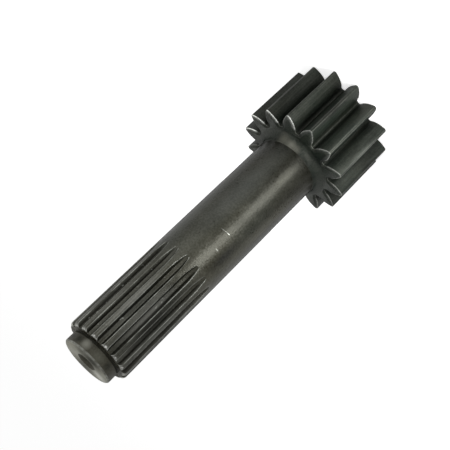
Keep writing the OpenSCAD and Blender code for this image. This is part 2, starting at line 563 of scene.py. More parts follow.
@dataclass(frozen=True)
class GroundShaft:
    """The fillet and the unground ring at the pinion, and the ground shaft up to the spline."""

    fillet_r: float = 5.0
    ring_step: float = 0.35
    ring_length: float = 1.4
    edge_round: float = 0.12
    fillet_steps: int = 12
    # Painted shade on the fillet and in a band along the step down from the ring.
    fillet_shade: float = 0.35
    step_shade: float = 0.8
    step_reach: float = 0.2

    def build(self, stations: Stations) -> bpy.types.Object:
        """Turns the shaft from the pinion's face to the foot of the spline.

        Args:
            stations: The shared heights and radii.

        Returns:
            The shaft's skin.
        """
        ring_r = stations.shaft_r + self.ring_step
        centre_r = ring_r + self.fillet_r
        centre_z = stations.gear_top + self.fillet_r
        ring_top = centre_z + self.ring_length
        corners = []
        for i in range(self.fillet_steps + 1):
            sweep = math.pi / 2 * i / self.fillet_steps
            radius = centre_r - self.fillet_r * math.sin(sweep)
            corners.append(Corner(radius, centre_z - self.fillet_r * math.cos(sweep)))
        corners.append(Corner(ring_r, ring_top - self.ring_step, self.edge_round))
        corners.append(Corner(stations.shaft_r, ring_top, self.edge_round))
        corners.append(Corner(stations.shaft_r, stations.spline_from))
        # The painted shade starts half a step below the step itself.
        step_from = ring_top - 1.5 * self.ring_step

        def mask(radius: float, height: float) -> SkinPoint:
            """Painted shade on the fillet and along the step down from the ring."""
            step = self.step_shade if step_from < height < ring_top + self.step_reach else 0.0
            return SkinPoint(depth=self.fillet_shade if height < centre_z else step)

        return turn_profile("ground_shaft", corners, mask)


@dataclass(frozen=True)
class SpaceCut:
    """A spline space as the hob leaves it, by the length along its half section, floor first."""

    across: Line
    outward: Line
    hob_axis: float

    @classmethod
    def along(cls, section: Line, hob_r: float) -> "SpaceCut":
        """Measures a half section.

        Args:
            section: Its points as (across, outward), from the middle of the floor upwards.
            hob_r: Radius of the hob.

        Returns:
            The cut.
        """
        lengths = [0.0]
        for a, b in zip(section, section[1:]):
            lengths.append(lengths[-1] + math.dist(a, b))
        return cls(
            across=[(length, point[0]) for length, point in zip(lengths, section)],
            outward=[(length, point[1]) for length, point in zip(lengths, section)],
            hob_axis=section[0][1] + hob_r,
        )

    @property
    def length(self) -> float:
        """Length of the whole half section."""
        return self.across[-1][0]

    def point(self, length: float, below: float) -> tuple[float, float]:
        """Point of the cut, lifted by the arc on which the hob runs out.

        Args:
            length: Length along the half section.
            below: Distance below the end of the full depth.

        Returns:
            The point as (across, outward).
        """
        reach = self.hob_axis - lookup(length, self.outward)
        outward = self.hob_axis - math.sqrt(max(0.0, reach * reach - below * below))
        return lookup(length, self.across), outward

    def mouth(self, below: float, outer_r: float) -> float:
        """Length along the half section at which the cut meets the shaft's surface.

        Args:
            below: Distance below the end of the full depth.
            outer_r: Radius of the surface.

        Returns:
            The length.
        """
        low, high = 0.0, self.length
        for _ in range(HALVINGS):
            middle = (low + high) / 2
            if math.hypot(*self.point(middle, below)) < outer_r:
                low = middle
            else:
                high = middle
        return low


@dataclass(frozen=True)
class Spline(Toothing):
    """The splined end: one pitch, from land to land, is laid as a sheet and spun around the axis."""

    teeth: int = 16
    module: float = 2.5
    pressure: float = 20.0
    shift: float = 0.8
    depth: float = 2.5
    length: float = 61.0
    hob_r: float = 35.0
    entry_round: float = 2.2
    floor_fillet: float = 0.45
    fillet_steps: int = 5
    flank_steps: int = 8
    flank_over: float = 0.6
    edge_width: float = 0.22
    edge_drop: float = 0.05
    # Near the tip of the run-out, the rolled edge narrows to the space's half width divided by this.
    narrowing: int = 3
    run_out_rows: int = 26
    entry_rows: int = 7
    straight_rows: int = 8
    space_shares: tuple[float, ...] = (0.0, 0.2, 0.3, 0.36, 0.41, 0.46, 0.6, 0.78)
    land_columns: int = 5
    # Painted shade across a space, by column from the floor's middle: strongest in the floor's corners and
    # low on the flanks, none on the lands.
    cavity_shade: Line = ((0.0, 0.1), (2.0, 0.3), (3.0, 1.0), (5.0, 1.0), (8.0, 0.5), (9.0, 0.0))
    flank_wear: float = 0.2
    land_wear: float = 0.15
    # Painted glint on the lands' rounded entries at the shoulder.
    entry_glint: float = 0.3

    def on_flank(self, radius: float) -> tuple[float, float]:
        """Point of a space's flank at a radius, as (across, outward)."""
        angle = self.half_pitch - self.flank_angle(radius)
        return radius * math.sin(angle), radius * math.cos(angle)

    def space_line(self, outer_r: float) -> list[tuple[float, float]]:
        """Half section of a space at full depth.

        Args:
            outer_r: Radius of the shaft.

        Returns:
            Points as (across, outward), from the middle of the floor up past the shaft.
        """
        root_r = outer_r - self.depth
        half_floor, floor = self.on_flank(root_r)
        rise_r = root_r + self.floor_fillet
        line = [(0.0, floor), (half_floor - self.floor_fillet, floor)]
        start, control, end = Vector(line[-1]), Vector((half_floor, floor)), Vector(self.on_flank(rise_r))
        for i in range(1, self.fillet_steps):
            t = i / self.fillet_steps
            line.append(tuple(start.lerp(control, t).lerp(control.lerp(end, t), t)))
        for i in range(self.flank_steps + 1):
            line.append(self.on_flank(mix(rise_r, outer_r + self.flank_over, i / self.flank_steps)))
        return line

    def stops(self, stations: Stations, hob_axis: float) -> list[tuple[float, float, float]]:
        """Rows of the sheet, from the foot of the run-out to the shoulder.

        Args:
            stations: The shared heights and radii.
            hob_axis: Distance of the hob's own axis from the shaft's.

        Returns:
            Height, distance below the end of the full depth and outer radius of each row.
        """
        outer_r = stations.shaft_r
        full = stations.shoulder - self.length
        entry_from = stations.shoulder - self.entry_round
        foot = math.sqrt(self.hob_r**2 - (hob_axis - outer_r) ** 2)
        stops = []
        for i in range(self.run_out_rows):
            below = foot * math.cos(math.pi / 2 * i / self.run_out_rows)
            stops.append((full - below, below, outer_r))
        for i in range(self.straight_rows + 1):
            stops.append((mix(full, entry_from, i / self.straight_rows), 0.0, outer_r))
        for i in range(1, self.entry_rows + 1):
            sweep = math.pi / 2 * i / self.entry_rows
            height = entry_from + self.entry_round * math.sin(sweep)
            stops.append((height, 0.0, outer_r - self.entry_round * (1 - math.cos(sweep))))
        return stops

    def build(self, stations: Stations) -> bpy.types.Object:
        """Models the splined stretch, open at both ends.

        Args:
            stations: The shared heights and radii.

        Returns:
            The spline's skin.
        """
        cut = SpaceCut.along(self.space_line(stations.shaft_r), self.hob_r)
        stops = self.stops(stations, cut.hob_axis)
        lip_column = len(self.space_shares)
        edge_column = lip_column + 1
        land_column = edge_column + 1
        half_columns = land_column + self.land_columns
        last_row = len(stops) + 1
        seams = ((stations.shaft_r, stations.spline_from), (stations.pilot_seam, stations.shoulder))

        def at(column: int, row: int) -> SkinPoint:
            """Skin point of the spline. The first and the last row are the evenly divided seams.

            Args:
                column: Column of the sheet, across the space.
                row: Row of the sheet, from the run-out up.

            Returns:
                The skin point.
            """
            i = abs(column - half_columns)
            side = -1 if column < half_columns else 1
            if row in (0, last_row):
                radius, height = seams[row != 0]
                return SkinPoint(polar(radius, side * self.half_pitch * i / half_columns, height))
            height, below, outer_r = stops[row - 1]
            mouth = cut.mouth(below, outer_r)
            lip = min(self.edge_width, mouth / self.narrowing)
            edge = 0.0
            if i < lip_column:
                across, outward = cut.point(self.space_shares[i] * mouth, below)
            elif i == lip_column:
                across, outward = cut.point(mouth - lip, below)
                edge = self.flank_wear
            elif i == edge_column:
                across, outward = cut.point(mouth, below)
                edge = min(1.0, lip / self.edge_width)
                outward -= self.edge_drop * edge
            else:
                first = math.atan2(*cut.point(mouth, below)) + lip / outer_r
                angle = mix(first, self.half_pitch, (i - land_column) / self.land_columns)
                across, outward = outer_r * math.sin(angle), outer_r * math.cos(angle)
                edge = self.land_wear if i == land_column else 0.0
            bare_and_glint = 0.0
            # Painted glint on the lands' rounded entries.
            if outer_r < stations.shaft_r and i > lip_column:
                worn_and_lit = (stations.shaft_r - outer_r) / self.entry_round
                bare_and_glint = self.entry_glint * math.sin(math.pi * min(1.0, worn_and_lit))
            # Painted shade in the space, less where the run-out makes the cut shallow.
            depth = min(1.0, mouth / cut.length) * lookup(i, self.cavity_shade)
            place = polar(math.hypot(across, outward), side * math.atan2(across, outward), height)
            return SkinPoint(place, edge, bare_and_glint, depth)

        sheet = lay_sheet("spline", 2 * half_columns + 1, len(stops) + 2, at)
        spin_copies(sheet, self.teeth)
        return sheet


@dataclass(frozen=True)
class CentreHole:
    """A centre-drilled hole: a mouth cone, a drilled part and the drill's point."""

    drill_d: float = 6.3
    mouth_d: float = 13.2
    drilled: float = 6.0
    cone_half: float = 30.0
    point_half: float = 59.0
    mouth_round: float = 0.15
    # Painted shade deepens over this distance into a hole.
    dark_from: float = 6.0
    rim: float = 0.1

    def corners(self, face: float, inward: float) -> list[Corner]:
        """Profile from the mouth to the drill's point.

        Args:
            face: Height of the face that the hole opens in.
            inward: 1 or -1, the way into the metal.

        Returns:
            The corners, mouth first.
        """
        drill_r, mouth_r = self.drill_d / 2, self.mouth_d / 2
        cone = (mouth_r - drill_r) / math.tan(math.radians(self.cone_half))
        point = drill_r / math.tan(math.radians(self.point_half))
        return [
            Corner(mouth_r, face, self.mouth_round),
            Corner(drill_r, face + inward * cone, self.mouth_round),
            Corner(drill_r, face + inward * (cone + self.drilled)),
            Corner(0.0, face + inward * (cone + self.drilled + point)),
        ]

    def mask(self, face: float, radius: float, height: float) -> float:
        """Painted shade in a hole in a face, rising from 0 at its mouth."""
        inside = radius < self.mouth_d / 2 - self.rim
        return min(1.0, abs(height - face) / self.dark_from) if inside else 0.0


@dataclass(frozen=True)
class Pilot:
    """The pilot beyond the spline: undercut, spigot, chamfer, end face and centre hole."""

    undercut_width: float = 1.5
    undercut_depth: float = 0.5
    chamfer: float = 0.8
    floor_round: float = 0.25
    groove_round: float = 0.15
    chamfer_round: float = 0.2
    chamfer_wear: float = 0.45
    # Painted shade in the undercut groove.
    groove_shade: float = 0.8
    slack: float = 0.1
    hole: CentreHole = field(default_factory=CentreHole)

    def build(self, stations: Stations) -> bpy.types.Object:
        """Turns the pilot from the shoulder to the bottom of its centre hole.

        Args:
            stations: The shared heights and radii.

        Returns:
            The pilot's skin.
        """
        pilot_r, top = stations.pilot_r, stations.length
        floor_r = pilot_r - self.undercut_depth
        groove_top = stations.shoulder + self.undercut_width
        corners = [
            Corner(stations.pilot_seam, stations.shoulder),
            Corner(floor_r, stations.shoulder, self.floor_round),
            Corner(floor_r, groove_top, self.groove_round),
            Corner(pilot_r, groove_top, self.groove_round),
            Corner(pilot_r, top - self.chamfer, self.chamfer_round),
            Corner(pilot_r - self.chamfer, top, self.chamfer_round),
            *self.hole.corners(top, -1),
        ]

        def mask(radius: float, height: float) -> SkinPoint:
            """Masks of the chamfer's rubbed edge, and of painted shade in the groove and the hole.

            Args:
                radius: Radius of the point.
                height: Height of the point.

            Returns:
                The masks.
            """
            outside = radius > pilot_r - self.chamfer - self.slack / 2
            worn_and_lit = self.chamfer_wear if outside and height > top - self.chamfer - self.slack else 0.0
            cavity_shade = self.groove_shade if height < groove_top - self.slack and radius < pilot_r else 0.0
            return SkinPoint(edge=worn_and_lit, depth=max(self.hole.mask(top, radius, height), cavity_shade))

        return turn_profile("pilot", corners, mask)


@dataclass(frozen=True)
class DriveEnd:
    """The pinion's free face inside its teeth, with its centre hole."""

    outer_seam: float = 26.0
    hole: CentreHole = field(default_factory=CentreHole)

    def build(self) -> bpy.types.Object:
        """Turns the face and its hole.

        Returns:
            The skin of the face.
        """

        def mask(radius: float, height: float) -> SkinPoint:
            """Painted shade in the hole."""
            return SkinPoint(depth=self.hole.mask(0.0, radius, height))

        return turn_profile("drive_end", [Corner(self.outer_seam, 0.0), *self.hole.corners(0.0, 1)], mask)


class Graph:
    """A short hand for laying and joining the nodes of a material or a world."""

    roughness = 0.55

    def __init__(self, owner: bpy.types.ID) -> None:
        """Empties the node tree.

        Args:
            owner: The material or the world.
        """
        owner.use_nodes = True
        self.tree = owner.node_tree
        self.tree.nodes.clear()

    def put(self, socket: Socket, value: object) -> None:
        """Links an input to a socket, or sets its value.

        Args:
            socket: The input.
            value: A socket to link, or a value to set.
        """
        if isinstance(value, Socket):
            self.tree.links.new(value, socket)
        else:
            socket.default_value = value

    def add(self, kind: str, **settings: object) -> bpy.types.Node:
        """Adds a node and sets its own settings.

        Args:
            kind: Name of the node type, without its ShaderNode prefix.
            **settings: Properties of the node.

        Returns:
            The node.
        """
        node = self.tree.nodes.new("ShaderNode" + kind)
        for name, value in settings.items():
            setattr(node, name, value)
        return node

    def feed(self, node: bpy.types.Node, **values: object) -> bpy.types.Node:
        """Sets or links inputs by name, with spaces written as underscores.

        Args:
            node: The node to feed.
            **values: A socket to link, or a value to set.

        Returns:
            The same node.
        """
        for name, value in values.items():
            self.put(node.inputs[name.replace("_", " ")], value)
        return node

    def fill(self, node: bpy.types.Node, *values: object) -> Socket:
        """Sets or links the first inputs in their order.

        Args:
            node: The node to feed.
            *values: Sockets to link, or values to set.

        Returns:
            The node's first output.
        """
        for socket, value in zip(node.inputs, values):
            self.put(socket, value)
        return node.outputs[0]

    def math(self, operation: str, a: object, b: object, clamp: bool = False) -> Socket:
        """Result of a Math node on two sockets or values."""
        return self.fill(self.add("Math", operation=operation, use_clamp=clamp), a, b)

    def times(self, a: object, b: object, clamp: bool = False) -> Socket:
        """Product of two sockets or values."""
        return self.math("MULTIPLY", a, b, clamp)

    def most(self, a: object, b: object) -> Socket:
        """The larger of two sockets or values."""
        return self.math("MAXIMUM", a, b)

    def rest(self, value: object) -> Socket:
        """What a socket or value leaves of 1."""
        return self.math("SUBTRACT", 1.0, value)

    def line(self, value: object, slope: float, start: object) -> Socket:
        """A socket or value times a slope, added to a start."""
        return self.math("ADD", self.times(value, slope), start)

    def blend(self, share: Socket, low: Socket | Colour, high: Colour) -> Socket:
        """Colour a share of the way from low to high."""
        low = (*low, 1) if isinstance(low, tuple) else low
        return self.fill(self.add("MixRGB", blend_type="MIX"), share, low, (*high, 1))

    def place(self) -> Socket:
        """The object's own coordinates, in metres."""
        return self.add("TexCoord").outputs["Object"]

    def height(self) -> Socket:
        """Height above the pinion's free face, in metres."""
        return self.feed(self.add("SeparateXYZ"), Vector=self.place()).outputs["Z"]

    def mask(self, mask: Mask) -> Socket:
        """Value of one of the skin's masks."""
        return self.add("Attribute", attribute_name=mask.value).outputs["Fac"]

    def noise(self, grains: Vector, detail: float) -> Socket:
        """Noise on the object's own coordinates.

        Args:
            grains: Grains a metre along each axis.
            detail: Number of finer layers.

        Returns:
            The noise, about 0.5 on average.
        """
        mapping = self.feed(self.add("Mapping"), Vector=self.place(), Scale=grains)
        node = self.add("TexNoise", noise_dimensions="3D")
        self.feed(node, Vector=mapping.outputs[0], Scale=1.0, Detail=detail, Roughness=self.roughness)
        return node.outputs["Fac"]

    def ramp(self, value: Socket, low: float, high: float) -> Socket:
        """The value spread from 0 at low to 1 at high, held outside."""
        node = self.add("MapRange", clamp=True)
        return self.feed(node, Value=value, From_Min=low, From_Max=high).outputs["Result"]

    def blob(self, middle: Vector, size: Vector, core: float, strength: float, turn: Euler) -> Socket:
        """Mask of a soft ellipsoid: full in its core, falling to 0 at its skin.

        Args:
            middle: Its middle.
            size: Its half axes.
            core: Share of the half axes that the core reaches.
            strength: Value of the mask in the core.
            turn: How it is turned.

        Returns:
            The mask.
        """
        mapping = self.add("Mapping", vector_type="TEXTURE")
        self.feed(mapping, Vector=self.place(), Location=middle * MM, Rotation=turn, Scale=size * MM)
        distance = self.feed(self.add("VectorMath", operation="LENGTH"), Vector=mapping.outputs[0])
        return self.times(self.ramp(distance.outputs["Value"], 1.0, core), strength)


@dataclass(frozen=True)
class Nick:
    """A short bright nick: the place of its middle, its size and how it leans."""

    angle: float
    radius: float
    height: float
    length: float
    width: float
    lean: float
    strength: float = 1.0
    reach: float = 2.0
    core: float = 0.35

    def mask(self, graph: Graph) -> Socket:
        """Mask of the nick, strongest in its middle.

        Args:
            graph: The material's graph.

        Returns:
            The mask.
        """
        outward = math.radians(self.angle)
        turn = Matrix.Rotation(outward, 3, "Z") @ Matrix.Rotation(math.radians(self.lean), 3, "X")
        size = Vector((self.reach, self.width / 2, self.length / 2))
        middle = polar(self.radius, outward, self.height)
        return graph.blob(middle, size, self.core, self.strength, turn.to_euler())


@dataclass(frozen=True)
class Spot:
    """A soft patch of painted highlight where its colour is light, and painted shade where it is dark: its
    middle, reach and colour, and how much taller than wide it is.
    """

    angle: float
    radius: float
    height: float
    reach: float
    colour: Colour
    strength: float = 1.0
    # How far the painted shade of the patch takes away the reflection.
    shade_dimming: float = 0.0
    tall: float = 1.0
    core: float = 0.2

    def mask(self, graph: Graph) -> Socket:
        """Mask of the painted patch, strongest in its middle."""
        middle = polar(self.radius, math.radians(self.angle), self.height)
        return graph.blob(middle, Vector((1, 1, self.tall)) * self.reach, self.core, self.strength, Euler())


@dataclass(frozen=True)
class Scuffs:
    """Light lengthwise scuffs that come in between two heights."""

    start: float
    full: float
    share: float
    colour: Colour
    shine: float = 0.5
    band: tuple[float, float] = (0.47, 0.66)

    def mask(self, graph: Graph, streak: Socket) -> Socket:
        """Mask of the scuffs, from the streaks and the height."""
        where = graph.ramp(graph.height(), self.start * MM, self.full * MM)
        return graph.times(graph.times(graph.ramp(streak, *self.band), where), self.share)


@dataclass(frozen=True)
class Pattern:
    """Noise that is alike all around: its grains a metre, its finer layers and the band that counts."""

    around: float
    along: float
    detail: float
    band: tuple[float, float]

    def lay(self, graph: Graph) -> Socket:
        """The noise itself."""
        return graph.noise(Vector((self.around, self.around, self.along)), self.detail)

    def spread(self, graph: Graph) -> Socket:
        """The noise spread from 0 to 1 over its band."""
        return graph.ramp(self.lay(graph), *self.band)


@dataclass(frozen=True)
class Grain:
    """The patterns that all the finishes share, and how far each one moves their looks."""

    cloud: Pattern = Pattern(around=75, along=45, detail=5, band=(0.34, 0.66))
    stain: Pattern = Pattern(around=24, along=14, detail=2, band=(0.42, 0.66))
    haze: Pattern = Pattern(around=31, along=17, detail=1, band=(0.40, 0.68))
    specks: Pattern = Pattern(around=850, along=850, detail=2, band=(0.36, 0.64))
    streaks: Pattern = Pattern(around=950, along=22, detail=3, band=(0.3, 0.6))
    patches: Pattern = Pattern(around=420, along=110, detail=3, band=(0.36, 0.60))
    flecks: Pattern = Pattern(around=520, along=300, detail=1, band=(0.70, 0.76))
    stain_share: float = 0.6
    haze_share: float = 0.5
    patch_share: float = 0.8
    cloud_shine: tuple[float, float] = (0.5, 0.75)
    speck_shine: tuple[float, float] = (0.46, 0.77)
    cloud_gloss: float = 0.08
    bare_and_glint_least: float = 0.5
    rim_power: float = 2.2
    rim_band: tuple[float, float] = (0.40, 0.88)
    streak_relief: float = 0.5
    relief: float = 0.12


@dataclass(frozen=True)
class SteelFinish:
    """Dark oiled steel: its colours, its gloss, its marks, the grain that its machining left, and painted
    light and shade.
    """

    name: str
    dark: Colour
    light: Colour
    warm: Colour
    cool: Colour
    # Colour of rubbed edges and of the painted highlight lines.
    worn_and_lit: Colour = (0.36, 0.37, 0.34)
    # Colour of exposed metal and of the painted glints.
    bare_and_glint: Colour = (0.62, 0.63, 0.60)
    # Colour of the painted shade in hollows.
    deep: Colour = (0.005, 0.005, 0.004)
    tint: Colour = (1.0, 1.0, 0.88)
    metallic: float = 0.0
    specular: float = 0.42
    gloss: float = 0.17
    gloss_spread: float = 0.24
    # How far the painted shade darkens the colour and takes away the reflection.
    deep_share: float = 0.75
    deep_gloss: float = 0.7
    # Painted sheen: the reflection rises by up to this share from low_until down to low_from, lifting the
    # lower end of the shaft.
    low_gain: float = 0.0
    low_from: float = 60.0
    low_until: float = 130.0
    spots: tuple[Spot, ...] = ()
    scuffs: Scuffs | None = None
    nicks: tuple[Nick, ...] = ()
    flecked: bool = False
    grain: Grain = Grain()

    def wear_and_highlights(self, graph: Graph, scuffed: Socket | float) -> Socket:
        """Mask of bright rubbing and painted highlight lines: broken edges, the pinion's crest and root
        lines, flecks and nicks.

        Args:
            graph: The material's graph.
            scuffed: Mask of the scuffs, in which the flecks lie.

        Returns:
            The mask.
        """
        share = self.grain.patch_share
        patches = graph.line(self.grain.patches.spread(graph), share, 1 - share)
        worn_and_lit = graph.times(graph.mask(Mask.EDGE), patches, clamp=True)
        if self.flecked:
            worn_and_lit = graph.most(worn_and_lit, graph.times(self.grain.flecks.spread(graph), scuffed))
        for nick in self.nicks:
            worn_and_lit = graph.most(worn_and_lit, nick.mask(graph))
        return worn_and_lit

    def shine(self, graph: Graph, cloud: Socket, speck: Socket, scuffed: Socket | float) -> Socket:
        """Strength of the reflection before painted shade and a grazing view take from it.

        Args:
            graph: The material's graph.
            cloud: The clouds, from 0 to 1.
            speck: The specks, as laid.
            scuffed: Mask of the scuffs.

        Returns:
            The strength.
        """
        grain = self.grain
        grit = graph.ramp(speck, *grain.specks.band)
        level = graph.times(graph.line(cloud, *grain.cloud_shine), graph.line(grit, *grain.speck_shine))
        # Painted sheen, stronger towards the bottom of the shaft.
        if self.low_gain:
            low = graph.ramp(graph.height(), self.low_until * MM, self.low_from * MM)
            level = graph.times(level, graph.line(low, self.low_gain, 1.0))
        if self.scuffs:
            level = graph.math("ADD", level, graph.times(scuffed, self.scuffs.shine))
        return graph.times(level, self.specular)

    def opening(self, graph: Graph, depth: Socket) -> Socket:
        """Share of the reflection that painted shade and a grazing view leave.

        Args:
            graph: The material's graph.
            depth: Mask of the painted shade.

        Returns:
            The share.
        """
        facing = graph.add("LayerWeight").outputs["Facing"]
        power = graph.math("POWER", facing, self.grain.rim_power)
        rim = graph.most(power, graph.ramp(facing, *self.grain.rim_band))
        return graph.times(graph.rest(graph.times(depth, self.deep_gloss)), graph.rest(rim))

    def make(self) -> bpy.types.Material:
        """Builds the material.

        Returns:
            The material.
        """
        material = bpy.data.materials.new(self.name)
        graph = Graph(material)
        grain = self.grain
        cloud = grain.cloud.spread(graph)
        speck = grain.specks.lay(graph)
        streak = grain.streaks.lay(graph)
        depth = graph.mask(Mask.DEPTH)
        scuffed = self.scuffs.mask(graph, streak) if self.scuffs else 0.0

        colour = graph.blend(cloud, self.dark, self.light)
        colour = graph.blend(graph.times(grain.stain.spread(graph), grain.stain_share), colour, self.warm)
        colour = graph.blend(graph.times(grain.haze.spread(graph), grain.haze_share), colour, self.cool)
        if self.scuffs:
            colour = graph.blend(scuffed, colour, self.scuffs.colour)
        # Painted shade in the hollows.
        colour = graph.blend(graph.times(depth, self.deep_share), colour, self.deep)
        # Patches of painted highlight and painted shade; the dark ones also take away reflection.
        for spot in self.spots:
            painted_patch = spot.mask(graph)
            colour = graph.blend(painted_patch, colour, spot.colour)
            depth = graph.most(depth, graph.times(painted_patch, spot.shade_dimming))
        worn_and_lit = self.wear_and_highlights(graph, scuffed)
        # Exposed metal with painted glints, broken by the streaks.
        streaks = graph.math("ADD", graph.ramp(streak, *grain.streaks.band), grain.bare_and_glint_least)
        bare_and_glint = graph.times(graph.mask(Mask.BARE_AND_GLINT), streaks, clamp=True)
        colour = graph.blend(worn_and_lit, colour, self.worn_and_lit)
        colour = graph.blend(bare_and_glint, colour, self.bare_and_glint)

        clean = graph.times(graph.rest(depth), self.metallic)
        rough = graph.line(speck, self.gloss_spread, self.gloss)
        level = self.shine(graph, cloud, speck, scuffed)
        relief = graph.line(streak, grain.streak_relief, speck)
        bump = graph.feed(graph.add("Bump"), Strength=1.0, Distance=grain.relief * MM, Height=relief)
        shader = graph.feed(
            graph.add("BsdfPrincipled"),
            Base_Color=colour,
            Metallic=graph.most(graph.most(worn_and_lit, bare_and_glint), clean),
            Roughness=graph.line(cloud, grain.cloud_gloss, rough),
            Specular_IOR_Level=graph.times(level, self.opening(graph, depth)),
            Specular_Tint=(*self.tint, 1),
            Normal=bump.outputs["Normal"],
        )
        graph.feed(graph.add("OutputMaterial"), Surface=shader.outputs["BSDF"])
        return material


# Painted light and shade on the spline's lands and floors; the last four are painted glints on the rounded
# tooth ends at the shoulder.
SPLINE_SPOTS = (
    Spot(-157.5, 20.0, 204.0, reach=2.6, colour=(0.22, 0.22, 0.20), strength=0.8, tall=13),
    Spot(-146.0, 22.5, 204.0, reach=2.4, colour=(0.01, 0.01, 0.01), shade_dimming=0.9, tall=13),
    Spot(-112.5, 20.0, 206.0, reach=2.4, colour=(0.003, 0.003, 0.002), shade_dimming=0.7, tall=12),
    Spot(-102.0, 22.5, 206.0, reach=2.6, colour=(0.003, 0.003, 0.002), shade_dimming=0.7, tall=12),
    Spot(-90.0, 20.0, 204.0, reach=2.4, colour=(0.12, 0.12, 0.11), strength=0.8, tall=12),
    Spot(-79.0, 22.5, 204.0, reach=2.2, colour=(0.10, 0.10, 0.09), strength=0.6, tall=12),
    Spot(-56.0, 22.5, 204.0, reach=2.4, colour=(0.12, 0.12, 0.11), strength=0.7, tall=12),
    Spot(-34.0, 22.5, 206.0, reach=2.4, colour=(0.08, 0.08, 0.07), strength=0.6, tall=12),
    Spot(-22.5, 20.0, 206.0, reach=2.8, colour=(0.003, 0.003, 0.002), shade_dimming=0.9, tall=12),
    Spot(0.0, 20.0, 204.0, reach=2.6, colour=(0.12, 0.12, 0.11), strength=0.8, tall=12),
    Spot(11.0, 22.5, 204.0, reach=2.8, colour=(0.01, 0.01, 0.01), shade_dimming=0.9, tall=12),
    Spot(-55.0, 22.0, 234.6, reach=0.7, colour=(0.6, 0.6, 0.57)),
    Spot(-79.0, 22.0, 234.8, reach=1.0, colour=(0.9, 0.9, 0.86)),
    Spot(-101.0, 22.0, 234.6, reach=0.7, colour=(0.5, 0.5, 0.47)),
    Spot(-124.0, 22.0, 234.6, reach=0.8, colour=(0.6, 0.6, 0.57)),
)

